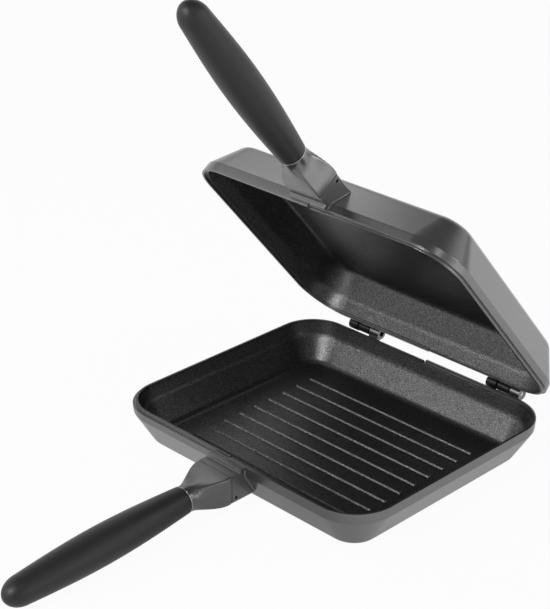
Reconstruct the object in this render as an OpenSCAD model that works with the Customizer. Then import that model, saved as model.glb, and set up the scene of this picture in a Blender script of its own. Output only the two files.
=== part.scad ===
// Double sided flip pan: two square pan halves on a pair of pin hinges, each with its own handle.
// Both halves are the same casting turned 180 degrees about the handle axis; only the lower has ribs.
// Millimetres. X runs along the hinge, +Y points back to the hinge, the handles point to -Y, +Z is up.
// The origin is the centre of the lower pan's flat base.

/* [Pan halves] */
// Width of a pan half across the rim
pan_w = 260; // [220:1:300]
// Length of a pan half across the rim, front to back
pan_d = 225; // [190:1:260]
// Height of one half, from its flat base to the plane where the halves meet
half_h = 36; // [33:0.5:45]
// Outer corner radius of the rim, seen from above
rim_r = 35.5; // [32:0.5:42]
// Width of the top of the wall
rim_t = 4.4; // [4:0.1:6]
// Height of the upright band below the rim
band_h = 7.3; // [6.5:0.1:10]
// How far the outer band leans in over its height
band_lean = 0.5; // [0.2:0.1:1]
// Depth from the meeting plane to the crease of the inner wall
crease_depth = 11.9; // [10:0.1:14]
// Distance of that crease from the outer rim
crease_in = 6.9; // [6.5:0.1:8]
// Distance from the outer rim to where the flat base begins
base_in = 23.4; // [22:0.1:27]
// Radius of the rounded outer base edge
base_edge_r = 10; // [8:0.5:12]
// Thickness of the cooking floor
floor_t = 3; // [2.5:0.1:4.5]

/* [Rim lips] */
// Width of the raised lip
lip_w = 2; // [1.6:0.1:2.2]
// Height of the lip above the meeting plane
lip_rise = 1; // [0.6:0.1:1.5]
// Depth of the ledge below the meeting plane
ledge_drop = 1.3; // [1.3:0.1:2]
// Gap between the lip ends of the two halves at the middle of the front and back
lip_end_gap = 0.8; // [0.6:0.1:2]

/* [Ribs of the lower pan] */
// Number of ribs
rib_count = 9; // [5:2:9]
// Distance from rib to rib
rib_pitch = 16.6; // [12:0.1:18]
// Length of a rib, ends included
rib_l = 175; // [120:1:190]
// Width of a rib
rib_w = 3.4; // [2:0.1:5]
// Height of a rib above the floor
rib_h = 1.4; // [1:0.1:2]

/* [Handle boss] */
// Width of the boss and of the neck where they meet
boss_w = 36; // [32:0.5:42]
// Reach of the boss in front of the rim
boss_reach = 12.5; // [11:0.5:15]
// Height of the underside of the boss above the base plane
boss_z = 10.5; // [9.5:0.5:12]
// Depth of the boss top below the meeting plane
boss_top_drop = 0.6; // [0.4:0.1:1]
// Length of the boss top before its step
boss_ledge = 4; // [3:0.1:5]
// Depth of the neck's flat top below the meeting plane
flat_drop = 3.2; // [2.5:0.1:4]

/* [Neck] */
// Length of the neck from the boss to the grip
neck_l = 32; // [30:0.5:40]
// Radius of the round end of the neck
collar_r = 10.3; // [9:0.1:11]
// Depth of the grip's axis below the meeting plane at the neck
collar_drop = 15.8; // [14.5:0.1:17]
// Width of the tenon that enters the boss
tenon_w = 21; // [16:0.5:24]
// Length of the tenon
tenon_l = 11.5; // [8:0.5:11.5]
// Bottom of the tenon above the base plane
tenon_z = 12.4; // [12:0.1:13]
// Top of the tenon above the base plane
tenon_top = 28.5; // [24:0.5:29]
// Clearance of the tenon in its pocket
tenon_gap = 0.15; // [0.1:0.05:0.3]
// Radius of the cross pin that locks the tenon
lock_pin_r = 1.2; // [0.8:0.1:1.4]
// Height of the cross pin above the base plane
lock_pin_z = 14.3; // [14:0.1:16]
// Distance of the cross pin behind the seam
lock_pin_in = 4; // [3:0.5:6]
// How far the ends of the cross pin lie below the sides of the boss
lock_pin_recess = 1; // [0.5:0.1:2]
// Clearance of the cross pin in its hole
lock_pin_gap = 0.05; // [0.02:0.01:0.1]
// Radius of the closing magnet in the neck
magnet_r = 4; // [3:0.5:5]
// Length of the magnet
magnet_l = 12; // [8:0.5:13]
// Clearance of the magnet in its bore
magnet_gap = 0.1; // [0.05:0.05:0.2]

/* [Grip] */
// Length of the grip
grip_l = 164; // [140:1:180]
// Angle at which the grip runs away from the meeting plane
grip_tilt = 2.5; // [1.5:0.1:3]
// Radius of the grip beside the neck
grip_r0 = 10.6; // [10.4:0.1:12]
// Largest radius of the grip
grip_r1 = 14.3; // [13:0.1:15]
// Radius of the grip where its end begins to round off
grip_r2 = 11.3; // [10:0.1:12.5]
// Place of the largest radius, from the neck
grip_wide_at = 78; // [60:1:90]
// Length of the rounded end
grip_end_l = 16; // [10:0.5:18]
// Thickness of the soft sleeve
sleeve_t = 2.2; // [1.6:0.1:3]
// Thickness of the metal ring between neck and grip
ring_t = 0.8; // [0.6:0.1:1.5]
// Clearance of the ring on the tang
ring_gap = 0.1; // [0.05:0.05:0.3]
// How far the ring stands proud of the neck
ring_proud = 0.2; // [0:0.1:0.3]
// Radius of the steel tang
tang_r = 4; // [3:0.5:5]
// Length of the tang inside the neck
tang_in = 14; // [10:0.5:15]
// Length of the tang inside the grip
tang_out = 96; // [60:1:120]

/* [Hinges] */
// Distance of the hinge axis behind the rim
axis_back = 9.3; // [9:0.1:12]
// Distance of each hinge's middle in from the side of the pan
hinge_in = 55.3; // [50:0.1:68]
// Outer radius of a knuckle
knuckle_r = 5; // [4.5:0.1:5.2]
// Radius of the hinge pin
hinge_pin_r = 2; // [1.5:0.1:2.5]
// Running clearance around the hinge pin, on the radius
hinge_gap = 0.05; // [0.02:0.01:0.1]
// Length of the closed knuckle, which holds the pin
closed_l = 9.5; // [8:0.1:12]
// Length of the loose sleeve in the middle
sleeve_l = 11.4; // [9:0.1:13]
// Length of the open hook, which the pin lies in
hook_l = 10; // [8:0.1:12]
// Side gap between the knuckles and the sleeve
knuckle_gap = 1.3; // [0.6:0.1:2]
// Wall of the loose sleeve on the pin
hinge_sleeve_t = 2.6; // [1.5:0.1:2.8]
// Width of the hook's mouth
hook_mouth = 4.3; // [4.2:0.1:5]
// Thickness of a bracket's foot
foot_t = 2.5; // [2:0.1:3]
// Height of a bracket's foot
foot_h = 7; // [6:0.5:8]
// Distance from the meeting plane to the foot
foot_drop = 4.5; // [4.2:0.1:6]
// How far the pan's pad for the foot stands off the band
pad_t = 2.5; // [2:0.1:3]
// Radius of the hinge screws
screw_r = 1.5; // [1.2:0.1:1.8]
// Clearance of a hinge screw in the foot
screw_gap = 0.1; // [0.05:0.05:0.3]
// Length of a hinge screw below its head
screw_l = 7.5; // [6:0.5:8]
// Radius of a hinge screw's head
screw_head_r = 2.7; // [2.4:0.1:3]
// Height of a hinge screw's head
screw_head_h = 1.6; // [1.2:0.1:2]
// Distance from a screw's head to the lower edge of the foot
head_margin = 0.4; // [0.2:0.1:0.6]
// Width and depth of the slot in a screw's head
screw_slot = 0.8; // [0.5:0.1:1]
// How far the ends of a hinge pin lie inside the knuckles
pin_recess = 0.4; // [0.2:0.1:1]
// Angle at which the upper half stands open
open_angle = 49.6; // [0:0.1:180]

/* [Hidden] */

$fn = 64;
tiny = 0.01;
sink = 0.5;            // overlap of two shapes that are one casting

wall_slope = 31;       // lean of the pan's side from upright, degrees
edge_z = base_edge_r;  // centre height of the rounded base edge, outside and inside
inner_edge_r = base_edge_r - floor_t;
floor_in = base_in + 1.6;

axis_y = pan_d / 2 + axis_back;
hinge_x = pan_w / 2 - hinge_in;
seam_y = -(pan_d / 2 + boss_reach);
neck_end_y = seam_y - neck_l;
grip_z = half_h - collar_drop;
flat_z = half_h - flat_drop;
foot_top = half_h - foot_drop;
foot_z = foot_top - foot_h;
screw_z = foot_z + screw_head_r + head_margin;
hinge_l = closed_l + sleeve_l + hook_l + 2 * knuckle_gap;
screw_dx = hinge_l / 2 - foot_h / 2 - 1;

graphite = [0.36, 0.37, 0.38];
coating = [0.10, 0.10, 0.11];
soft_black = [0.13, 0.13, 0.14];
steel = [0.70, 0.71, 0.72];
dark_steel = [0.14, 0.14, 0.15];

// ---------------------------------------------------------------- shared outlines

// points of an arc in the plane of a wall section
function arc(cx, cy, r, a0, a1, n) =
    [for (i = [0 : n]) let (a = a0 + (a1 - a0) * i / n) [cx + r * cos(a), cy + r * sin(a)]];

// section of the side wall: first number is the distance in from the rim, second the height
function wall_section() = concat(
    [[rim_t, half_h - ledge_drop], [0, half_h - ledge_drop], [band_lean, half_h - band_h]],
    arc(base_in, edge_z, base_edge_r, 180 + wall_slope, 270, 6),
    [[floor_in, 0], [floor_in, floor_t]],
    arc(base_in, edge_z, inner_edge_r, 270, 180 + wall_slope, 6),
    [[crease_in, half_h - crease_depth]]);

// section of a lip that starts `inset` in from the rim
function lip_section(inset) = [
    [inset, half_h - ledge_drop - sink], [inset, half_h + lip_rise],
    [inset + lip_w, half_h + lip_rise], [inset + lip_w, half_h - ledge_drop - sink]];

// runs a wall section round the pan's rounded rectangle
module round_rim(section) {
    side_x = pan_w - 2 * rim_r;
    side_y = pan_d - 2 * rim_r;
    for (k = [0 : 3]) {
        turn = k * 90;
        along = k % 2 == 0 ? side_y : side_x;
        out = k % 2 == 0 ? pan_w / 2 : pan_d / 2;
        rotate([0, 0, turn]) {
            translate([out, along / 2, 0]) rotate([90, 0, 0])
                linear_extrude(along) polygon([for (p = section) [-p[0], p[1]]]);
            translate([out - rim_r, along / 2, 0]) rotate_extrude(angle = 90)
                polygon([for (p = section) [rim_r - p[0], p[1]]]);
        }
    }
}

// flat rounded rectangle, `inset` in from the rim
module pan_outline(inset) {
    r = rim_r - inset;
    x = pan_w / 2 - rim_r;
    y = pan_d / 2 - rim_r;
    square([2 * x, 2 * (y + r)], center = true);
    square([2 * (x + r), 2 * y], center = true);
    for (sx = [-1, 1], sy = [-1, 1]) translate([sx * x, sy * y]) circle(r);
}

// everything on one side of the middle, less half of the gap between the lip ends
module half_space(side) {
    translate([side * (pan_w + lip_end_gap) / 2, 0, half_h])
        cube([pan_w, 2 * pan_d, 4 * half_h], center = true);
}

// turns what is built as a lower half into the closed upper half, then swings it open
module upper_place() {
    translate([0, axis_y, half_h]) rotate([-open_angle, 0, 0]) translate([0, -axis_y, 0])
        rotate([0, 180, 0]) translate([0, 0, -half_h]) children();
}

// local frame of the grip: +Z runs from the neck to the far end
module grip_place() {
    translate([0, neck_end_y, grip_z]) rotate([90 + grip_tilt, 0, 0]) children();
}

// ---------------------------------------------------------------- pan casting

module lips() {
    intersection() {
        round_rim(lip_section(rim_t - lip_w));
        half_space(-1);
    }
    intersection() {
        round_rim(lip_section(0));
        half_space(1);
    }
}

module boss() {
    wall_low = 12;     // the boss ends inside the wall, this far in from the rim at its foot
    wall_high = 3.5;   // and this far in just below the band
    riser_lean = 0.6;  // the step in the boss top leans forward by this much
    rim_y = -pan_d / 2;
    ledge_y = rim_y - boss_ledge;
    rotate([90, 0, 90]) translate([0, 0, -boss_w / 2]) linear_extrude(boss_w) polygon([
        [rim_y + wall_low, boss_z], [seam_y, boss_z], [seam_y, flat_z],
        [ledge_y - riser_lean, flat_z], [ledge_y, half_h - boss_top_drop],
        [rim_y + wall_high - sink, half_h - boss_top_drop - ledge_drop],
        [rim_y + wall_high, half_h - band_h - sink]]);
}

module boss_cuts() {
    w = tenon_w + 2 * tenon_gap;
    translate([-w / 2, seam_y - tiny, tenon_z - tenon_gap])
        cube([w, tenon_l + tenon_gap + tiny, tenon_top - tenon_z + 2 * tenon_gap]);
    translate([-boss_w, seam_y + lock_pin_in, lock_pin_z]) rotate([0, 90, 0])
        cylinder(h = 2 * boss_w, r = lock_pin_r + lock_pin_gap);
}

// pads on the back wall that carry the hinge brackets
module pads() {
    bite = 3.5;
    for (side = [-1, 1])
        translate([side * hinge_x - hinge_l / 2, pan_d / 2 - bite, foot_z])
            cube([hinge_l, bite + pad_t, foot_h]);
}

module screw_holes() {
    for (side = [-1, 1], dx = [-1, 1])
        translate([side * hinge_x + dx * screw_dx, pan_d / 2 + pad_t + tiny, screw_z])
            rotate([90, 0, 0]) cylinder(h = screw_l - foot_t + tiny, r = screw_r);
}

module ribs() {
    straight = rib_l - rib_w;
    for (k = [0 : rib_count - 1])
        translate([0, (k - (rib_count - 1) / 2) * rib_pitch, floor_t - sink])
            linear_extrude(rib_h + sink) {
                square([straight, rib_w], center = true);
                for (end = [-1, 1]) translate([end * straight / 2, 0]) circle(rib_w / 2);
            }
}

module pan_half(with_ribs) {
    difference() {
        union() {
            round_rim(wall_section());
            linear_extrude(floor_t) pan_outline(base_in + sink);
            lips();
            boss();
            pads();
            if (with_ribs) ribs();
        }
        boss_cuts();
        screw_holes();
    }
}

module lower_pan() {
    color(graphite) pan_half(true);
}

module upper_pan() {
    color(graphite) upper_place() pan_half(false);
}

// ---------------------------------------------------------------- neck, magnet, lock pin

// smooth step from 0 to 1
function ease(t) = t * t * (3 - 2 * t);
function mix(a, b, t) = a + (b - a) * t;

// half-width, top, bottom and squareness of the neck's section, u runs from the boss to the collar
function neck_half_w(u) = mix(boss_w / 2, collar_r, ease(min(1, max(0, (u - 0.06) / 0.84))));
function neck_top(u) = mix(flat_z, grip_z + collar_r, ease(u));
function neck_bottom(u) = mix(boss_z - neck_drop, grip_z - collar_r, ease(u)) - neck_belly * sin(180 * u);
function neck_square_top(u) = mix(16, 2, ease(u));
function neck_square_low(u) = mix(6, 2, ease(u));

function power(v, n) = sign(v) * pow(abs(v), 2 / n);

// outline of the neck at share t of its length, a rounded box that turns into the round collar;
// the last ring lies in the tilted plane where the grip begins
function neck_ring(t, sides) =
    let (u = min(1, t * neck_l / (neck_l - collar_l)), w = neck_half_w(u),
         mid = (neck_top(u) + neck_bottom(u)) / 2, h = (neck_top(u) - neck_bottom(u)) / 2,
         lean = grip_tilt * ease(u))
    [for (i = [0 : sides - 1])
        let (a = 360 * i / sides, n = sin(a) >= 0 ? neck_square_top(u) : neck_square_low(u),
             rise = h * power(sin(a), n))
        [w * power(cos(a), n), seam_y - t * neck_l - rise * sin(lean), mid + rise * cos(lean)]];

neck_sides = 40;
neck_steps = 12;
collar_l = 2.5;        // straight round part at the end of the neck
neck_drop = 0.6;       // the neck's underside lies this far below the boss's
neck_belly = 0.8;      // and hangs this much more in the middle

module neck_skin() {
    points = [for (k = [0 : neck_steps]) each neck_ring(k / neck_steps, neck_sides)];
    sides = [for (k = [0 : neck_steps - 1], i = [0 : neck_sides - 1])
        let (a = k * neck_sides + i, b = k * neck_sides + (i + 1) % neck_sides)
        each [[a, b + neck_sides, b], [a, a + neck_sides, b + neck_sides]]];
    first = [for (i = [0 : neck_sides - 1]) i];
    last = [for (i = [neck_sides - 1 : -1 : 0]) neck_steps * neck_sides + i];
    polyhedron(points, concat(sides, [first, last]), convexity = 4);
}

module neck() {
    difference() {
        union() {
            neck_skin();
            translate([-tenon_w / 2, seam_y - sink, tenon_z])
                cube([tenon_w, tenon_l + sink, tenon_top - tenon_z]);
        }
        translate([-boss_w, seam_y + lock_pin_in, lock_pin_z]) rotate([0, 90, 0])
            cylinder(h = 2 * boss_w, r = lock_pin_r + lock_pin_gap);
        grip_place() translate([0, 0, -tang_in]) cylinder(h = 2 * tang_in, r = tang_r);
        magnet_place() cylinder(h = magnet_l + tenon_l, r = magnet_r + magnet_gap);
    }
}

// the magnet's blind bore runs in from the end of the tenon
module magnet_place() {
    translate([0, seam_y - magnet_l, (tenon_z + tenon_top) / 2]) rotate([-90, 0, 0]) children();
}

module lower_neck() {
    color(graphite) neck();
}

module upper_neck() {
    color(graphite) upper_place() neck();
}

module neck_pin() {
    l = boss_w - 2 * lock_pin_recess;
    translate([-l / 2, seam_y + lock_pin_in, lock_pin_z]) rotate([0, 90, 0])
        cylinder(h = l, r = lock_pin_r);
}

module lower_neck_pin() {
    color(dark_steel) neck_pin();
}

module upper_neck_pin() {
    color(dark_steel) upper_place() neck_pin();
}

module magnet() {
    magnet_place() cylinder(h = magnet_l, r = magnet_r);
}

module lower_magnet() {
    color(steel) magnet();
}

module upper_magnet() {
    color(steel) upper_place() magnet();
}

// ---------------------------------------------------------------- grip

grip_steps = 12;
body_l = grip_l - grip_end_l;

// radius of the grip's outside at distance z from the neck
function grip_r(z) =
    z <= grip_wide_at
        ? grip_r0 + (grip_r1 - grip_r0) * sin(90 * z / grip_wide_at)
        : z <= body_l
            ? grip_r1 - (grip_r1 - grip_r2) * (1 - cos(90 * (z - grip_wide_at) / (body_l - grip_wide_at)))
            : grip_r2 * sqrt(max(0, 1 - pow((z - body_l) / grip_end_l, 2)));

// outline of the grip from `from` to its end, drawn in by `inset`
function grip_side(from, inset) = concat(
    [for (k = [0 : grip_steps]) let (z = mix(from, body_l, k / grip_steps)) [grip_r(z) - inset, z]],
    [for (k = [1 : 8]) let (a = 90 * k / 8)
        [(grip_r2 - inset) * cos(a), body_l + (grip_end_l - inset) * sin(a)]]);

module grip_ring() {
    grip_place() difference() {
        cylinder(h = ring_t, r = collar_r + ring_proud);
        translate([0, 0, -1]) cylinder(h = ring_t + 2, r = tang_r + ring_gap);
    }
}

module tang() {
    grip_place() translate([0, 0, -tang_in]) cylinder(h = tang_in + tang_out, r = tang_r);
}

module grip_core() {
    grip_place() difference() {
        rotate_extrude() polygon(concat([[0, ring_t]], grip_side(ring_t, sleeve_t)));
        translate([0, 0, -1]) cylinder(h = tang_out + 1, r = tang_r);
    }
}

module grip_sleeve() {
    outer = grip_side(ring_t, 0);
    inner = grip_side(ring_t, sleeve_t);
    n = len(inner);
    grip_place() rotate_extrude()
        polygon(concat(outer, [for (i = [n - 1 : -1 : 0]) inner[i]]));
}

module lower_grip_ring() {
    color(steel) grip_ring();
}

module upper_grip_ring() {
    color(steel) upper_place() grip_ring();
}

module lower_tang() {
    color(steel) tang();
}

module upper_tang() {
    color(steel) upper_place() tang();
}

module lower_grip_core() {
    color(dark_steel) grip_core();
}

module upper_grip_core() {
    color(dark_steel) upper_place() grip_core();
}

module lower_grip_sleeve() {
    color(soft_black) grip_sleeve();
}

module upper_grip_sleeve() {
    color(soft_black) upper_place() grip_sleeve();
}

// ---------------------------------------------------------------- hinges

foot_y = pan_d / 2 + pad_t;

// lengthways ranges of the parts of a hinge, measured out from the middle of the pan
inner_end = hinge_x - hinge_l / 2;
sleeve_from = inner_end + hook_l + knuckle_gap;
closed_from = sleeve_from + sleeve_l + knuckle_gap;

module foot(side) {
    translate([side * hinge_x - hinge_l / 2, foot_y, foot_z]) cube([hinge_l, foot_t, foot_h]);
}

module foot_holes(side) {
    for (dx = [-1, 1])
        translate([side * hinge_x + dx * screw_dx, foot_y - 1, screw_z]) rotate([-90, 0, 0])
            cylinder(h = foot_t + 2, r = screw_r + screw_gap);
}

// knuckle with the arm that carries it, from `from` outwards on the given side
module knuckle(side, from, l) {
    x = side > 0 ? from : -from - l;
    arm = 1;           // height of the arm where it leaves the foot, above the screw's head
    bite = 0.3;        // the arm runs this far into the knuckle's round outside
    translate([x, 0, 0]) {
        translate([0, axis_y, half_h]) rotate([0, 90, 0]) cylinder(h = l, r = knuckle_r);
        rotate([90, 0, 90]) linear_extrude(l) polygon([
            [foot_y, foot_top - arm], [foot_y + foot_t, foot_top - arm],
            [axis_y + 1, half_h - knuckle_r + bite], [axis_y, half_h],
            [axis_y - knuckle_r + bite, half_h - arm]]);
    }
}

module pin_bore(r) {
    translate([-pan_w / 2, axis_y, half_h]) rotate([0, 90, 0]) cylinder(h = pan_w, r = r);
}

// bracket with the closed knuckle that grips the pin
module closed_bracket(side) {
    difference() {
        union() {
            foot(side);
            knuckle(side, closed_from, closed_l);
        }
        foot_holes(side);
        pin_bore(hinge_pin_r);
    }
}

// bracket with the open hook that the other half's pin turns in
module hook_bracket(side) {
    mouth_lean = 60;   // the mouth opens upwards and back
    l = hook_l + 2;
    x = side > 0 ? inner_end - 1 : -inner_end - hook_l - 1;
    difference() {
        union() {
            foot(side);
            knuckle(side, inner_end, hook_l);
        }
        foot_holes(side);
        pin_bore(hinge_pin_r + hinge_gap);
        translate([x, axis_y, half_h]) rotate([mouth_lean, 0, 0])
            translate([0, 0, -hook_mouth / 2]) cube([l, 2 * knuckle_r, hook_mouth]);
    }
}

module hinge_screws() {
    for (side = [-1, 1], dx = [-1, 1])
        translate([side * hinge_x + dx * screw_dx, foot_y + foot_t, screw_z]) rotate([90, 0, 0]) {
            cylinder(h = screw_l, r = screw_r);
            difference() {
                translate([0, 0, -screw_head_h]) cylinder(h = screw_head_h, r = screw_head_r);
                translate([-screw_head_r, -screw_slot / 2, -screw_head_h - 1])
                    cube([2 * screw_head_r, screw_slot, 1 + screw_slot]);
            }
        }
}

// pin of the hinge on one side, from the outer end of the closed knuckle into the hook
module hinge_pin(side) {
    from = inner_end + pin_recess;
    l = closed_from + closed_l - pin_recess - from;
    x = side > 0 ? from : -from - l;
    translate([x, axis_y, half_h]) rotate([0, 90, 0]) cylinder(h = l, r = hinge_pin_r);
}

module hinge_sleeve(side) {
    x = side > 0 ? sleeve_from : -sleeve_from - sleeve_l;
    translate([x, axis_y, half_h]) rotate([0, 90, 0]) difference() {
        cylinder(h = sleeve_l, r = hinge_pin_r + hinge_sleeve_t);
        translate([0, 0, -1]) cylinder(h = sleeve_l + 2, r = hinge_pin_r);
    }
}

module lower_bracket_left() {
    color(graphite) hook_bracket(-1);
}

module lower_bracket_right() {
    color(graphite) closed_bracket(1);
}

module upper_bracket_left() {
    color(dark_steel) upper_place() closed_bracket(1);
}

module upper_bracket_right() {
    color(dark_steel) upper_place() hook_bracket(-1);
}

module lower_hinge_screws() {
    color(steel) hinge_screws();
}

module upper_hinge_screws() {
    color(steel) upper_place() hinge_screws();
}

module left_hinge_pin() {
    color(steel) upper_place() hinge_pin(1);
}

module right_hinge_pin() {
    color(steel) hinge_pin(1);
}

module left_hinge_sleeve() {
    color(dark_steel) upper_place() hinge_sleeve(1);
}

module right_hinge_sleeve() {
    color(dark_steel) hinge_sleeve(1);
}

lower_pan();
lower_neck();
lower_neck_pin();
lower_magnet();
lower_tang();
lower_grip_ring();
lower_grip_core();
lower_grip_sleeve();
lower_bracket_left();
lower_bracket_right();
lower_hinge_screws();
upper_pan();
upper_neck();
upper_neck_pin();
upper_magnet();
upper_tang();
upper_grip_ring();
upper_grip_core();
upper_grip_sleeve();
upper_bracket_left();
upper_bracket_right();
upper_hinge_screws();
left_hinge_pin();
left_hinge_sleeve();
right_hinge_pin();
right_hinge_sleeve();
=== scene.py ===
"""Looks of a double sided flip pan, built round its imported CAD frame. Blender 4.5, metres, +Z up."""
import logging
import math
from collections.abc import Callable, Iterable
from dataclasses import dataclass
from enum import Enum

import bmesh
import bpy
from mathutils import Matrix, Vector


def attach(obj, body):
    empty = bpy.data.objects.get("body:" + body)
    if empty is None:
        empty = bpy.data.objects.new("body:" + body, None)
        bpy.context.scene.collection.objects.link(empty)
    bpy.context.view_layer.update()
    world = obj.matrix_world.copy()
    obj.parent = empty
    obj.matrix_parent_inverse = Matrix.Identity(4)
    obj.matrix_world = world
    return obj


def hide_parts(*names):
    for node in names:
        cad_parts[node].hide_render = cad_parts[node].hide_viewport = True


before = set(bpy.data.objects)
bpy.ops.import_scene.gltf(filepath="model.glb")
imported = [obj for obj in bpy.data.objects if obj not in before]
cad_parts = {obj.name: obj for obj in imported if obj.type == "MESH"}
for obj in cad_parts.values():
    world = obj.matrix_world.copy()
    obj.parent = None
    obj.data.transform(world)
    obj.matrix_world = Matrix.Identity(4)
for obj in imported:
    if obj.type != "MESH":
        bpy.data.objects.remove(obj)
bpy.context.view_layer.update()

LOG = logging.getLogger("flip_pan")
MM = 0.001
NEAR = 0.01  # millimetres within which two places are the same
CLOSE_BY = 0.05  # the same, where a place has been rounded or worked out twice
SAME_POINT = 1e-6  # metres within which points are merged
Triple = tuple[float, float, float]
Line = list[tuple[float, float]]
Node, Socket = bpy.types.Node, bpy.types.NodeSocket
PlaceTest = Callable[[Vector], bool]
PairTest = Callable[[Vector, Vector], bool]


@dataclass(frozen=True)
class Sizes:
    """Sizes that the sub-assemblies share, in millimetres, the same as in the part's source."""

    pan_w: float = 260.0
    pan_d: float = 225.0
    half_h: float = 36.0
    rim_r: float = 35.5
    rim_t: float = 4.4
    band_h: float = 7.3
    band_lean: float = 0.5
    crease_depth: float = 11.9
    crease_in: float = 6.9
    base_in: float = 23.4
    base_edge_r: float = 10.0
    floor_t: float = 3.0
    wall_slope: float = 31.0
    lip_w: float = 2.0
    lip_rise: float = 1.0
    ledge_drop: float = 1.3
    lip_end_gap: float = 0.8
    boss_w: float = 36.0
    boss_reach: float = 12.5
    boss_z: float = 10.5
    boss_top_drop: float = 0.6
    boss_ledge: float = 4.0
    flat_drop: float = 3.2
    neck_l: float = 32.0
    collar_l: float = 2.5
    collar_r: float = 10.3
    collar_drop: float = 15.8
    lock_pin_r: float = 1.2
    lock_pin_z: float = 14.3
    lock_pin_in: float = 4.0
    axis_back: float = 9.3
    hinge_in: float = 55.3
    hinge_l: float = 33.5
    foot_h: float = 7.0
    foot_drop: float = 4.5
    pad_t: float = 2.5
    open_angle: float = 49.6

    @property
    def rim_y(self) -> float:
        """Front of the rim, negative."""
        return -self.pan_d / 2

    @property
    def seam_y(self) -> float:
        """Where the boss ends and the neck begins."""
        return self.rim_y - self.boss_reach

    @property
    def neck_end_y(self) -> float:
        """Where the neck ends and the grip begins."""
        return self.seam_y - self.neck_l

    @property
    def ledge_z(self) -> float:
        """Height of the rim's ledge."""
        return self.half_h - self.ledge_drop

    @property
    def flat_z(self) -> float:
        """Height of the neck's flat top."""
        return self.half_h - self.flat_drop

    @property
    def grip_z(self) -> float:
        """Height of the grip's axis at the neck."""
        return self.half_h - self.collar_drop

    @property
    def axis_y(self) -> float:
        """Distance of the hinge axis from the middle of the pan."""
        return self.pan_d / 2 + self.axis_back


SIZES = Sizes()


class Half(Enum):
    """The two halves of the pan, by the first word of their CAD nodes."""

    LOWER = "lower"
    UPPER = "upper"

    @property
    def body(self) -> str:
        """CAD body that the half belongs to."""
        return f"{self.value}_half"

    def node(self, part: str) -> str:
        """Name of this half's CAD node for a part."""
        return f"{self.value}_{part}"

    def place(self) -> Matrix:
        """Where a piece that was built as a lower half goes.

        Returns:
            The identity for the lower half. For the upper half, half a turn about the handle axis
            and then the swing about the hinge axis.
        """
        if self is Half.LOWER:
            return Matrix.Identity(4)
        s = SIZES
        return (
            Matrix.Translation((0, s.axis_y * MM, s.half_h * MM))
            @ Matrix.Rotation(math.radians(-s.open_angle), 4, "X")
            @ Matrix.Translation((0, -s.axis_y * MM, 0))
            @ Matrix.Rotation(math.pi, 4, "Y")
            @ Matrix.Translation((0, 0, -s.half_h * MM))
        )


# ---------------- modelling


def put_down() -> None:
    """Leave edit mode and deselect everything."""
    if bpy.context.object and bpy.context.object.mode != "OBJECT":
        bpy.ops.object.mode_set(mode="OBJECT")
    bpy.ops.object.select_all(action="DESELECT")


def pick_all() -> None:
    """Select all of the piece that is open."""
    bpy.ops.mesh.select_all(action="SELECT")


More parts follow.
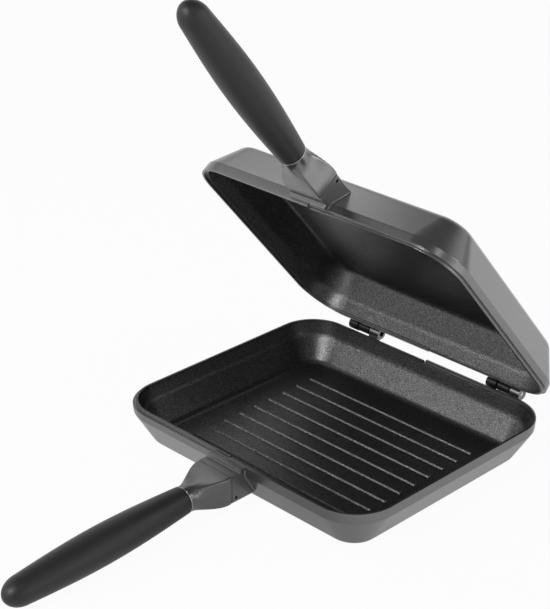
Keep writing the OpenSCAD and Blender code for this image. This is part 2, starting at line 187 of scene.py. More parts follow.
class Bench:
    """One piece being modelled with Blender's own tools. All lengths are given in millimetres."""

    def __init__(self, obj: bpy.types.Object) -> None:
        """Take up an object that is already in edit mode."""
        self.obj = obj

    @classmethod
    def take(cls, name: str) -> "Bench":
        """Name the primitive that was just added, apply its size and open it in edit mode.

        Args:
            name: Name of the piece.

        Returns:
            The bench, with all of the primitive selected.
        """
        obj = bpy.context.object
        obj.name = name
        obj.data.name = name
        bpy.ops.object.transform_apply(location=True, rotation=True, scale=True)
        bpy.ops.object.mode_set(mode="EDIT")
        pick_all()
        return cls(obj)

    @classmethod
    def plate(cls, name: str, size_x: float, size_y: float, z: float, y: float = 0.0) -> "Bench":
        """Start from a flat plate.

        Args:
            name: Name of the piece.
            size_x: Width.
            size_y: Length.
            z: Height of the plate.
            y: Place of its middle along Y.

        Returns:
            The bench, with the plate open and selected.
        """
        put_down()
        bpy.ops.mesh.primitive_plane_add(size=1, location=(0, y * MM, z * MM))
        bpy.context.object.scale = (size_x * MM, size_y * MM, 1)
        return cls.take(name)

    @classmethod
    def disc(cls, name: str, radius: float, sides: int, at: Vector, face: Vector) -> "Bench":
        """Start from a filled circle.

        Args:
            name: Name of the piece.
            radius: Radius of the circle.
            sides: Number of corners.
            at: Its middle.
            face: The way that it faces.

        Returns:
            The bench, with the disc open and selected.
        """
        put_down()
        bpy.ops.mesh.primitive_circle_add(
            vertices=sides, radius=radius * MM, fill_type="NGON", location=at * MM,
            rotation=face.to_track_quat("Z", "Y").to_euler(),
        )
        return cls.take(name)

    @classmethod
    def section(cls, name: str, x: float, line: Iterable[tuple[float, float]]) -> "Bench":
        """Start from a flat section that faces along X, drawn point by point.

        Args:
            name: Name of the piece.
            x: Where the section lies.
            line: Y and Z of its corners in order.

        Returns:
            The bench, with the section open and selected.
        """
        put_down()
        bpy.ops.mesh.primitive_plane_add(size=MM, location=(x * MM, 0, 0))
        bench = cls.take(name)
        bpy.ops.mesh.select_mode(type="VERT")
        pick_all()
        bpy.ops.mesh.merge(type="CENTER")
        at = (0.0, 0.0)
        for count, corner in enumerate(line):
            step = {"value": (0, (corner[0] - at[0]) * MM, (corner[1] - at[1]) * MM)}
            if count:
                bpy.ops.mesh.extrude_vertices_move(TRANSFORM_OT_translate=step)
            else:
                bpy.ops.transform.translate(**step)
            at = corner
        pick_all()
        bpy.ops.mesh.edge_face_add()
        bpy.ops.mesh.select_mode(type="FACE")
        pick_all()
        return bench

    @classmethod
    def copy_of(cls, node: str, name: str) -> "Bench":
        """Start from a merged copy of a CAD node's mesh, with its flat faces made whole.

        Args:
            node: CAD node to copy.
            name: Name of the piece.

        Returns:
            The bench, with the copy open and selected.
        """
        put_down()
        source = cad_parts[node]
        obj = bpy.data.objects.new(name, source.data.copy())
        obj.data.name = name
        obj.data.materials.clear()
        bpy.context.scene.collection.objects.link(obj)
        obj.select_set(True)
        bpy.context.view_layer.objects.active = obj
        bpy.ops.object.mode_set(mode="EDIT")
        pick_all()
        bpy.ops.mesh.remove_doubles(threshold=SAME_POINT)
        bpy.ops.mesh.dissolve_limited(angle_limit=math.radians(1.0))
        pick_all()
        bpy.ops.mesh.normals_make_consistent(inside=False)
        return cls(obj)

    def _mesh(self) -> bmesh.types.BMesh:
        """The mesh as it is being edited."""
        return bmesh.from_edit_mesh(self.obj.data)

    def _pick(self, kind: str, elements: str, test: Callable[[object], bool]) -> None:
        """Select the vertices, edges or faces that pass a test, and nothing else.

        Args:
            kind: Selection mode.
            elements: "verts", "edges" or "faces".
            test: Whether to select an element.
        """
        bpy.ops.mesh.select_mode(type=kind)
        bpy.ops.mesh.select_all(action="DESELECT")
        for found in [e for e in getattr(self._mesh(), elements) if test(e)]:
            found.select_set(True)
        bmesh.update_edit_mesh(self.obj.data)

    def pick_faces(self, test: PairTest) -> None:
        """Select the faces that pass a test of their middle and normal."""
        self._pick("FACE", "faces", lambda f: test(f.calc_center_median() / MM, f.normal))

    def pick_edges(self, test: PairTest) -> None:
        """Select the edges that pass a test of their two ends."""
        self._pick("EDGE", "edges", lambda e: test(e.verts[0].co / MM, e.verts[1].co / MM))

    def pick_points(self, test: PlaceTest) -> None:
        """Select the vertices that pass a test of their place."""
        self._pick("VERT", "verts", lambda v: test(v.co / MM))

    def wear(self, *finishes: "Finish") -> None:
        """Give the piece its finishes, in the order of its material slots."""
        for finish in finishes:
            self.obj.data.materials.append(finish.material())


    def paint(self, index: int, test: PairTest) -> None:
        """Give the faces that pass a test of middle and normal a material slot.

        Args:
            index: The slot.
            test: Whether a face gets it.
        """
        mesh = self._mesh()
        for face in mesh.faces:
            if test(face.calc_center_median() / MM, face.normal):
                face.material_index = index
        bmesh.update_edit_mesh(self.obj.data)

    def flip(self) -> None:
        """Turn the selected faces over."""
        bpy.ops.mesh.flip_normals()

    def round_corners(self, radius: float, segments: int) -> None:
        """Round the corners of the selected plate."""
        bpy.ops.mesh.bevel(offset=radius * MM, segments=segments, affect="VERTICES", clamp_overlap=False)

    def inset(self, inward: float, rise: float = 0.0) -> None:
        """Draw the selected face in by `inward` and move it along its normal by `rise`."""
        bpy.ops.mesh.inset(thickness=inward * MM, depth=rise * MM, use_even_offset=True)

    def extrude(self, x: float = 0.0, y: float = 0.0, z: float = 0.0) -> None:
        """Draw the selected faces out by a step."""
        bpy.ops.mesh.extrude_region_move(TRANSFORM_OT_translate={"value": (x * MM, y * MM, z * MM)})

    def move(self, x: float = 0.0, y: float = 0.0, z: float = 0.0) -> None:
        """Move what is selected."""
        bpy.ops.transform.translate(value=(x * MM, y * MM, z * MM))

    def resize(self, x: float, y: float, z: float, about: Vector) -> None:
        """Scale what is selected about a point."""
        bpy.ops.transform.resize(value=(x, y, z), center_override=about * MM)

    def cut(self, at: Vector, across: Vector) -> None:
        """Cut the selected faces along a plane and keep both sides."""
        bpy.ops.mesh.bisect(plane_co=at * MM, plane_no=across, threshold=1e-7)

    def bevel(self, width: float, segments: int) -> None:
        """Round the selected edges.

        Args:
            width: Width of the rounding.
            segments: Number of faces across it.
        """
        bpy.ops.mesh.bevel(
            offset=width * MM, offset_type="OFFSET", segments=segments, affect="EDGES", clamp_overlap=False
        )

    def close(self) -> None:
        """Fill what is open, merge what lies together and point the faces outwards."""
        pick_all()
        bpy.ops.mesh.remove_doubles(threshold=SAME_POINT)
        bpy.ops.mesh.fill_holes(sides=0)
        pick_all()
        bpy.ops.mesh.normals_make_consistent(inside=False)

    def hold(self) -> None:
        """Leave edit mode with only this piece selected and active."""
        put_down()
        self.obj.select_set(True)
        bpy.context.view_layer.objects.active = self.obj

    def open(self) -> None:
        """Go back into edit mode."""
        self.hold()
        bpy.ops.object.mode_set(mode="EDIT")

    def modify(self, kind: str, **settings: object) -> None:
        """Add a modifier of a kind with its settings, and apply it.

        Args:
            kind: Blender's name of the modifier.
            settings: Its properties.
        """
        self.hold()
        added = self.obj.modifiers.new(kind.lower(), kind)
        for name, value in settings.items():
            setattr(added, name, value)
        bpy.ops.object.modifier_apply(modifier=added.name)

    def soften(self, width: float, angle: float = 40.0) -> None:
        """Round every edge sharper than an angle."""
        self.modify("BEVEL", width=width * MM, segments=2, limit_method="ANGLE",
                    angle_limit=math.radians(angle), use_clamp_overlap=False, harden_normals=False)


    def settle(self, name: str, place: Matrix) -> None:
        """Name the piece, move it to its place and keep that place in its mesh.

        Args:
            name: Name of the finished piece.
            place: Where it goes.
        """
        self.obj.name = self.obj.data.name = name
        self.hold()
        self.obj.matrix_world = place
        bpy.ops.object.transform_apply(location=True, rotation=True, scale=True)

    def shade(self, angle: float, weighted: bool = True) -> None:
        """Shade smoothly over edges flatter than an angle, with large faces kept flat.

        Args:
            angle: Sharper edges stay sharp, in degrees.
            weighted: Whether large faces are kept flat.
        """
        self.hold()
        bpy.ops.object.shade_smooth_by_angle(angle=math.radians(angle))
        if weighted:
            self.modify("WEIGHTED_NORMAL", keep_sharp=True)

    def join(self, others: Iterable["Bench"]) -> None:
        """Take other pieces into this one.

        Args:
            others: The pieces to take in.
        """
        others = list(others)
        put_down()
        for other in others:
            other.obj.select_set(True)
        self.obj.select_set(True)
        bpy.context.view_layer.objects.active = self.obj
        bpy.ops.object.join()


def report(obj: bpy.types.Object, half_or_body: str, nodes: Iterable[str] = ()) -> None:
    """Hang a finished piece on its body, hide the CAD nodes that it replaces and log it.

    Args:
        obj: The finished piece.
        half_or_body: Name of the CAD body that it rides on.
        nodes: CAD nodes that it replaces.
    """
    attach(obj, half_or_body)
    if nodes:
        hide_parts(*nodes)
    LOG.info("%s: %d faces on %s", obj.name, len(obj.data.polygons), half_or_body)


# ---------------- finishes


class Graph:
    """A node tree that is being filled."""

    def __init__(self, tree: bpy.types.NodeTree) -> None:
        """Take up a tree and empty it."""
        self.tree = tree
        tree.nodes.clear()

    def add(self, kind: str, inputs: dict[str, object] | None = None, **settings: object) -> Node:
        """Add a node.

        Args:
            kind: Blender's name of the node type.
            inputs: Values of its inputs by name or number, where a socket is linked.
            settings: Its other properties.

        Returns:
            The new node.
        """
        node = self.tree.nodes.new(kind)
        for name, value in settings.items():
            setattr(node, name, value)
        for name, value in (inputs or {}).items():
            socket = node.inputs[name]
            if isinstance(value, Socket):
                self.tree.links.new(value, socket)
            else:
                socket.default_value = value
        return node

    def math(self, operation: str, a: object, b: object = 0.0) -> Socket:
        """A sum of two values or sockets."""
        return self.add("ShaderNodeMath", {0: a, 1: b}, operation=operation).outputs[0]

    def spread(self, value: object, low: float, high: float, to_low: float, to_high: float) -> Socket:
        """A value mapped from one range to another.

        Args:
            value: A number or socket.
            low: Start of its range.
            high: End of its range.
            to_low: What the start becomes.
            to_high: What the end becomes.

        Returns:
            The mapped value.
        """
        node = self.add("ShaderNodeMapRange", {"Value": value, "From Min": low, "From Max": high,
                                               "To Min": to_low, "To Max": to_high}, clamp=True)
        return node.outputs["Result"]

    def blend(self, share: object, a: object, b: object) -> Socket:
        """A mix of two colours."""
        node = self.add("ShaderNodeMix", {0: share, 6: a, 7: b}, data_type="RGBA")
        return node.outputs[2]

    def vector(self, operation: str, a: object, b: object = (0.0, 0.0, 0.0)) -> Node:
        """A sum of two vectors."""
        return self.add("ShaderNodeVectorMath", {0: a, 1: b}, operation=operation)

    def place(self) -> Socket:
        """Where a point lies in the object's own frame."""
        return self.add("ShaderNodeTexCoord").outputs["Object"]

    def group(self, grain: "Grain", inputs: dict[str, object]) -> Node:
        """Add one of the shared patterns."""
        return self.add("ShaderNodeGroup", inputs, node_tree=grain.tree())


def new_group(name: str, inputs: dict[str, float], outputs: dict[str, str]) -> tuple[Graph, dict, dict]:
    """Start a shared node group.

    Args:
        name: Name of the group.
        inputs: Its number inputs with their defaults.
        outputs: Its outputs with their socket types.

    Returns:
        The graph, the sockets of its inputs by name, and the sockets into its outputs by name.
    """
    tree = bpy.data.node_groups.new(name, "ShaderNodeTree")
    for key, value in inputs.items():
        made = tree.interface.new_socket(key, in_out="INPUT", socket_type="NodeSocketFloat")
        made.default_value = value
    for key, kind in outputs.items():
        tree.interface.new_socket(key, in_out="OUTPUT", socket_type=kind)
    graph = Graph(tree)
    entry = graph.add("NodeGroupInput")
    leave = graph.add("NodeGroupOutput")
    return graph, {k: entry.outputs[k] for k in inputs}, {k: leave.inputs[k] for k in outputs}


class Grain(Enum):
    """The shared patterns, built once each."""

    FLECK = "metal_fleck"
    MOTTLE = "slow_mottle"

    def tree(self) -> bpy.types.NodeTree:
        """The pattern's node group, made the first time that it is asked for."""
        found = bpy.data.node_groups.get(self.value)
        return found or (_fleck_group() if self is Grain.FLECK else _mottle_group())


def _fleck_group() -> bpy.types.NodeTree:
    """Fine flakes in a coat: a speckle of light and dark, a mask of bright flakes and tilted normals.

    Returns:
        The node group.
    """
    graph, given, out = new_group(
        Grain.FLECK.value,
        {"Speckle Scale": 1100.0, "Flake Scale": 2600.0, "Flake Share": 0.1, "Tilt": 0.15},
        {"Speckle": "NodeSocketFloat", "Flakes": "NodeSocketFloat", "Normal": "NodeSocketVector"},
    )
    place = graph.place()
    speckle = graph.add("ShaderNodeTexNoise", {"Vector": place, "Scale": given["Speckle Scale"],
                                               "Detail": 3.0, "Roughness": 0.7}).outputs[0]
    cells = graph.add("ShaderNodeTexVoronoi", {"Vector": place, "Scale": given["Flake Scale"]})
    chance = graph.add("ShaderNodeSeparateColor", {0: cells.outputs["Color"]}).outputs[0]
    flakes = graph.math("GREATER_THAN", chance, graph.math("SUBTRACT", 1.0, given["Flake Share"]))
    tree = graph.tree
    lean = graph.vector("SUBTRACT", cells.outputs["Color"], (0.5, 0.5, 0.5)).outputs[0]
    scaled = graph.add("ShaderNodeVectorMath", {0: lean, "Scale": given["Tilt"]}, operation="SCALE")
    face = graph.add("ShaderNodeNewGeometry").outputs["Normal"]
    unit = graph.vector("NORMALIZE", graph.vector("ADD", face, scaled.outputs[0]).outputs[0]).outputs[0]
    tree.links.new(graph.spread(speckle, 0.3, 0.7, 0.0, 1.0), out["Speckle"])
    tree.links.new(flakes, out["Flakes"])
    tree.links.new(unit, out["Normal"])
    return tree


def _mottle_group() -> bpy.types.NodeTree:
    """Slow unevenness of a coat or a moulding, for its roughness and colour.

    Returns:
        The node group.
    """
    graph, given, out = new_group(
        Grain.MOTTLE.value, {"Scale": 28.0, "Fine Scale": 900.0},
        {"Cloud": "NodeSocketFloat", "Fine": "NodeSocketFloat"},
    )
    place = graph.place()
    cloud, fine = (
        graph.add("ShaderNodeTexNoise", {"Vector": place, "Scale": given[scale], "Detail": detail}).outputs[0]
        for scale, detail in (("Scale", 4.0), ("Fine Scale", 2.0)))
    graph.tree.links.new(graph.spread(cloud, 0.3, 0.7, 0.0, 1.0), out["Cloud"])
    graph.tree.links.new(graph.spread(fine, 0.25, 0.75, 0.0, 1.0), out["Fine"])
    return graph.tree


@dataclass(frozen=True)
class Finish:
    """A plain finish with its slight unevenness: bare or painted metal, or a moulding."""

    name: str
    dark: Triple
    light: Triple
    roughness: float
    metallic: float = 0.0
    swing: float = 0.05
    fine_scale: float = 600.0

    def material(self) -> bpy.types.Material:
        """The finish as a Blender material, made the first time that it is asked for."""
        return bpy.data.materials.get(self.name) or self._make()

    def _make(self) -> bpy.types.Material:
        """Build the material: an uneven roughness, and the surface that the kind of finish has.

        Returns:
            The new material.
        """
        material = bpy.data.materials.new(self.name)
        material.use_nodes = True
        material.diffuse_color = (*self.light, 1.0)
        graph = Graph(material.node_tree)
        mottle = graph.group(Grain.MOTTLE, {"Fine Scale": self.fine_scale})
        rough = graph.spread(mottle.outputs["Cloud"], 0, 1, self.roughness - self.swing,
                             self.roughness + self.swing)
        shader = graph.add("ShaderNodeBsdfPrincipled", {
            "Metallic": self.metallic, "Roughness": rough, **self._surface(graph, mottle)})
        graph.add("ShaderNodeOutputMaterial", {"Surface": shader.outputs[0]})
        return material

    def _surface(self, graph: Graph, mottle: Node) -> dict[str, object]:
        """Inputs of the shader that differ from finish to finish: here a finely uneven colour.

        Args:
            graph: The material being filled.
            mottle: Its mottle group.

        Returns:
            The inputs by name.
        """
        return {"Base Color": graph.blend(mottle.outputs["Fine"], (*self.dark, 1), (*self.light, 1))}


@dataclass(frozen=True)
class FleckCoat(Finish):
    """A coat with metal flakes in it: the graphite paint outside, or the non-stick coating inside."""

    swing: float = 0.008
    flake: Triple = (0.3, 0.3, 0.3)
    flake_share: float = 0.1
    speckle_scale: float = 1100.0
    flake_scale: float = 4000.0
    tilt: float = 0.1

    def _surface(self, graph: Graph, mottle: Node) -> dict[str, object]:
        """Speckle, bright flakes and tilted normals from the shared fleck group.

        Args:
            graph: The material being filled.
            mottle: Its mottle group, which only the roughness of a coat uses.

        Returns:
            The inputs by name.
        """
        fleck = graph.group(Grain.FLECK, {
            "Speckle Scale": self.speckle_scale, "Flake Scale": self.flake_scale,
            "Flake Share": self.flake_share, "Tilt": self.tilt})
        base = graph.blend(fleck.outputs["Speckle"], (*self.dark, 1), (*self.light, 1))
        colour = graph.blend(fleck.outputs["Flakes"], base, (*self.flake, 1))
        return {"Base Color": colour, "Normal": fleck.outputs["Normal"]}


@dataclass(frozen=True)
class SoftTouch(Finish):
    """Soft rubbery skin with a very fine grain and a faint sheen."""

    swing: float = 0.04
    fine_scale: float = 1700.0
    grain_height: float = 0.00002
    grain_strength: float = 0.5
    sheen: float = 0.1
    sheen_roughness: float = 0.4

    def _surface(self, graph: Graph, mottle: Node) -> dict[str, object]:
        """The plain colour, with grain and sheen.

        Args:
            graph: The material being filled.
            mottle: Its mottle group.

        Returns:
            The inputs by name.
        """
        bump = graph.add("ShaderNodeBump", {"Height": mottle.outputs["Fine"], "Distance": self.grain_height,
                                            "Strength": self.grain_strength})
        return {**super()._surface(graph, mottle), "Normal": bump.outputs[0], "Sheen Weight": self.sheen,
                "Sheen Roughness": self.sheen_roughness}


GRAPHITE = FleckCoat("graphite_paint", (0.19, 0.19, 0.193), (0.235, 0.235, 0.238), 0.28, 0.95,
                     flake=(0.28, 0.28, 0.283), flake_share=0.08, tilt=0.03, speckle_scale=1400.0,
                     flake_scale=4800.0)
NON_STICK = FleckCoat("non_stick_coating", (0.035, 0.035, 0.035), (0.15, 0.15, 0.15), 0.32, 0.9,
                      flake=(0.26, 0.26, 0.26), flake_share=0.1, tilt=0.2, speckle_scale=900.0,
                      flake_scale=3600.0)
SOFT_GRIP = SoftTouch("soft_touch_grip", (0.013, 0.013, 0.0135), (0.024, 0.024, 0.025), 0.45)
SATIN_BLACK = Finish("satin_black", (0.008, 0.008, 0.008), (0.02, 0.02, 0.02), 0.32, 0.3)
DARK_STEEL = Finish("blackened_steel", (0.03, 0.03, 0.03), (0.06, 0.06, 0.06), 0.4, 0.9)
BRIGHT_STEEL = Finish("satin_steel", (0.5, 0.5, 0.51), (0.62, 0.62, 0.63), 0.28, 1.0)
NICKEL = Finish("nickel_plate", (0.6, 0.58, 0.55), (0.7, 0.68, 0.64), 0.15, 1.0)
HARD_CORE = Finish("moulded_core", (0.03, 0.03, 0.03), (0.05, 0.05, 0.05), 0.5, 0.0)


# ---------------- pan castings


@dataclass
class PanCasting:
    """One pan half: shell with its rim lips, handle boss, hinge pads and ribs, in one casting."""

    half: Half
    ribbed: bool
    corner_steps: int = 20
    arc_steps: int = 6
    base_lead: float = 1.6
    inner_crease_r: float = 2.2
    band_crease_r: float = 0.5
    edge: float = 0.34
    boss_edge: float = 0.3
    boss_under_r: float = 1.3
    boss_step: float = 0.5
    boss_root: float = 1.5
    boss_dip: float = 0.2
    fillet_size: float = 1.05
    fillet_root: float = 0.4
    fillet_lap: float = 0.1
    fillet_drop: float = 0.4
    fillet_lift: float = 0.2
    fillet_steps: tuple[tuple[float, float], ...] = ((0.25, 0.52), (0.3, 0.27), (0.6, 0.28))
    fillet_tail: tuple[float, float] = (-0.7, 1.1)
    rib_count: int = 9
    rib_pitch: float = 16.6
    rib_l: float = 175.0
    rib_w: float = 3.4
    rib_flare: float = 0.8
    rib_end_r: float = 2.2
    rib_sink: float = 0.02
    rib_steps: tuple[tuple[float, float], ...] = ((0.25, 0.08), (0.36, 0.56), (0.36, 0.54), (0.25, 0.16),
                                                  (0.4, 0.06))
    s: Sizes = SIZES

    def rim_inset(self, p: Vector) -> float:
        """Distance of a point in from the rim's outline, seen from above.

        Args:
            p: The point.

        Returns:
            The distance, negative outside the rim.
        """
        s = self.s
        qx = abs(p.x) - (s.pan_w / 2 - s.rim_r)
        qy = abs(p.y) - (s.pan_d / 2 - s.rim_r)
        return s.rim_r - math.hypot(max(qx, 0.0), max(qy, 0.0)) - min(max(qx, qy), 0.0)

    def _edge_arc(self, radius: float) -> Line:
        """Points of the rounded base edge: distance in from the rim, and height.

        Args:
            radius: Radius of the arc.

        Returns:
            The points, from the wall to the base.
        """
        s = self.s
        first = 180 + s.wall_slope
        turns = [math.radians(first + (270 - first) * k / self.arc_steps) for k in range(self.arc_steps + 1)]
        return [(s.base_in + radius * math.cos(a), s.base_edge_r + radius * math.sin(a)) for a in turns]

    def _draw_wall(self, bench: Bench, line: Line, facing: int) -> None:
        """Draw a wall and base from a plate.

        Args:
            bench: The plate.
            line: Section of the wall: distance in from the rim, and height.
            facing: 1 where the plate faces up, -1 where it faces down.
        """
        for (from_in, from_z), (to_in, to_z) in zip(line, line[1:]):
            bench.inset(to_in - from_in, facing * (to_z - from_z))

    def _inside(self) -> Bench:
        """Rim top and inside of the shell, worked down from a plate at the ledge.

        Returns:
            The surface with its two finishes.
        """
        s = self.s
        bench = Bench.plate("inside", s.pan_w, s.pan_d, s.ledge_z)
        bench.round_corners(s.rim_r, self.corner_steps)
        for inward in (s.lip_w, s.rim_t - 2 * s.lip_w, s.lip_w):
            bench.inset(inward)
        line = [(s.rim_t, s.ledge_z), (s.crease_in, s.half_h - s.crease_depth)]
        line += self._edge_arc(s.base_edge_r - s.floor_t) + [(s.base_in + self.base_lead, s.floor_t)]
        self._draw_wall(bench, line, 1)
        bench.wear(GRAPHITE, NON_STICK)
        bench.paint(1, lambda p, n: True)
        bench.paint(0, lambda p, n: abs(p.z - s.ledge_z) < NEAR and self.rim_inset(p) < s.rim_t - s.lip_w)
        return bench

    def _outside(self) -> Bench:
        """Outside of the shell, worked down from a plate that faces down.

        Returns:
            The surface with its finish.
        """
        s = self.s
        bench = Bench.plate("outside", s.pan_w, s.pan_d, s.ledge_z)
        bench.flip()
        bench.round_corners(s.rim_r, self.corner_steps)
        line = [(0.0, s.ledge_z), (s.band_lean, s.half_h - s.band_h)]
        line += self._edge_arc(s.base_edge_r) + [(s.base_in + self.base_lead, 0.0)]
        self._draw_wall(bench, line, -1)
        bench.wear(GRAPHITE)
        return bench

    def _ledges(self, bench: Bench) -> None:
        """Raise the lip outside on the right and inside on the left, with a gap at the middle.

        Args:
            bench: The casting.
        """
        s = self.s

        def on_top(p: Vector) -> bool:
            """Whether a face lies on the rim's ledge."""
            return abs(p.z - s.ledge_z) < CLOSE_BY and self.rim_inset(p) < s.rim_t

        end = s.lip_end_gap / 2
        for side in (1, -1):
            bench.pick_faces(lambda p, n: on_top(p) and abs(p.x) < s.pan_w / 2 - s.rim_r)
            bench.cut(Vector((side * end, 0, 0)), Vector((1, 0, 0)))
        rise = s.ledge_drop + s.lip_rise
        bench.pick_faces(lambda p, n: on_top(p) and self.rim_inset(p) < s.lip_w and p.x > end)
        bench.extrude(z=rise)
        bench.pick_faces(lambda p, n: on_top(p) and self.rim_inset(p) > s.rim_t - s.lip_w and p.x < -end)
        bench.extrude(z=rise)

    def _wall_line(self, out: float) -> Line:
        """Y and Z down the front wall from the rim to the boss's foot, moved forward by `out`.

        Args:
            out: How far in front of the wall.

        Returns:
            The three points of the line, from the top.
        """
        s = self.s
        bend = s.half_h - s.band_h
        edge = s.rim_y + s.band_lean
        foot = edge + (bend - s.boss_z) * math.tan(math.radians(s.wall_slope))
        return [(s.rim_y - out, s.ledge_z - self.fillet_drop), (edge - out, bend),
                (foot - out, s.boss_z + self.fillet_lift)]

    def _boss(self) -> Bench:
        """The handle boss: its stepped section drawn across, with its edges rounded and the pin hole sunk.

        Returns:
            The finished block.
        """
        s = self.s
        ledge_y = s.rim_y - s.boss_ledge
        top = s.half_h - s.boss_top_drop
        line = [(s.seam_y, s.boss_z), (s.seam_y, s.flat_z), (ledge_y - self.boss_step, s.flat_z),
                (ledge_y, top), (s.rim_y, top), (s.rim_y, s.ledge_z - self.boss_dip)]
        line += self._wall_line(-self.boss_root)
        line[-1] = (line[-1][0], s.boss_z)
        bench = Bench.section("boss", -s.boss_w / 2, line)
        bench.extrude(x=s.boss_w)
        bench.close()
        bench.pick_edges(lambda a, b: abs(a.x - b.x) < NEAR and max(a.z, b.z) < s.boss_z + NEAR)
        bench.bevel(self.boss_under_r, 4)
        bench.wear(GRAPHITE)
        self._sink_pin_hole(bench)
        bench.soften(self.boss_edge)
        return bench

    def _fillet(self, side: int) -> Bench:
        """The small hollow fillet that runs down the wall beside the boss, on the side of +X or -X.

        Args:
            side: 1 for +X, -1 for -X.

        Returns:
            The finished strip.
        """
        s = self.s
        wall = self._wall_line(0)
        at = s.boss_w / 2 - self.fillet_lap
        bench = Bench.section("fillet", side * at,
                              self._wall_line(self.fillet_size) + self._wall_line(-self.fillet_root)[::-1])
        for out, back in self.fillet_steps:
            bench.extrude(x=side * out)
            at += out
            bench.pick_points(lambda p: abs(p.x - side * at) < NEAR and any(
                -2 * self.fillet_size < p.y - y < CLOSE_BY and abs(p.z - z) < CLOSE_BY for y, z in wall))
            bench.move(y=back)
            bench.pick_faces(lambda p, n: abs(p.x - side * at) < NEAR)
        bench.close()
        bench.pick_points(lambda p: p.z < s.boss_z + 2 * self.fillet_lift)
        bench.move(y=self.fillet_tail[0], z=self.fillet_tail[1])
        bench.wear(GRAPHITE)
        return bench

    def _pads(self, bench: Bench) -> None:
        """Draw the two hinge pads out of the straight back wall, with flat ends.

        Args:
            bench: The casting.
        """
        s = self.s
        top = s.half_h - s.foot_drop
        low = top - s.foot_h

        def on_wall(p: Vector, n: Vector) -> bool:
            """Whether a face belongs to the outer wall at the back."""
            return n.y > 0.4 and p.y > s.pan_d / 2 - s.rim_r and p.z < s.ledge_z

        for side in (-1, 1):
            mid = side * (s.pan_w / 2 - s.hinge_in)
            left, right = mid - s.hinge_l / 2, mid + s.hinge_l / 2
            for at, across in (((left, 0, 0), (1, 0, 0)), ((right, 0, 0), (1, 0, 0)),
                               ((0, 0, low), (0, 0, 1)), ((0, 0, top), (0, 0, 1))):
                bench.pick_faces(lambda p, n: on_wall(p, n) and abs(p.x) < s.pan_w / 2 - s.rim_r)
                bench.cut(Vector(at), Vector(across))
            bench.pick_faces(lambda p, n: on_wall(p, n) and left < p.x < right and low < p.z < top)
            bench.extrude(y=1.0)
            bench.resize(1, 0, 1, Vector((0, s.pan_d / 2 + s.pad_t, 0)))

    def _creases(self, bench: Bench) -> None:
        """Round the crease inside and the foot of the band outside.

        Args:
            bench: The casting.
        """
        s = self.s
        for z, inward, radius, steps in (
            (s.half_h - s.crease_depth, s.crease_in, self.inner_crease_r, 4),
            (s.half_h - s.band_h, s.band_lean, self.band_crease_r, 2),
        ):
            bench.pick_edges(lambda a, b: all(
                abs(p.z - z) < NEAR and abs(self.rim_inset(p) - inward) < 2 * CLOSE_BY for p in (a, b)))
            bench.bevel(radius, steps)

    def _ribs(self) -> Bench:
        """The cast ribs: one is modelled with its foot and rounded top, then repeated.

        Returns:
            All the ribs as one piece.
        """
        wider = 2 * self.rib_flare
        bench = Bench.plate("ribs", self.rib_l + wider, self.rib_w + wider, self.s.floor_t - self.rib_sink,
                            y=-(self.rib_count - 1) / 2 * self.rib_pitch)
        bench.round_corners(self.rib_end_r, 6)
        for inward, rise in self.rib_steps:
            bench.inset(inward, rise)
        bench.wear(NON_STICK)
        bench.modify("ARRAY", count=self.rib_count, use_relative_offset=False, use_constant_offset=True,
                     constant_offset_displace=(0, self.rib_pitch * MM, 0))
        return bench

    def _sink_pin_hole(self, bench: Bench) -> None:
        """Sink the hole of the cross pin through the boss.

        Args:
            bench: The boss.
        """
        s = self.s
        clearance = 0.1
        put_down()
        bpy.ops.mesh.primitive_cylinder_add(vertices=24, radius=(s.lock_pin_r + clearance) * MM,
                                            depth=(s.boss_w + 2) * MM, rotation=(0, math.pi / 2, 0),
                                            location=(0, (s.seam_y + s.lock_pin_in) * MM, s.lock_pin_z * MM))
        drill = bpy.context.object
        bench.modify("BOOLEAN", operation="DIFFERENCE", object=drill, solver="EXACT")
        bpy.data.objects.remove(drill)

    def build(self) -> None:
        """Model, finish and place the casting."""
        casting = self._outside()
        casting.join([self._inside()])
        casting.open()
        pick_all()
        bpy.ops.mesh.remove_doubles(threshold=SAME_POINT)
        self._creases(casting)
        self._ledges(casting)
        self._pads(casting)
        casting.soften(self.edge)
        boss = self._boss()
        casting.modify("BOOLEAN", operation="UNION", object=boss.obj, solver="EXACT")
        bpy.data.objects.remove(boss.obj)
        casting.join([self._fillet(1), self._fillet(-1)] + ([self._ribs()] if self.ribbed else []))
        casting.settle(self.half.node("pan_casting"), self.half.place())
        casting.shade(38)
        report(casting.obj, self.half.body, [self.half.node("pan")])


# ---------------- handles


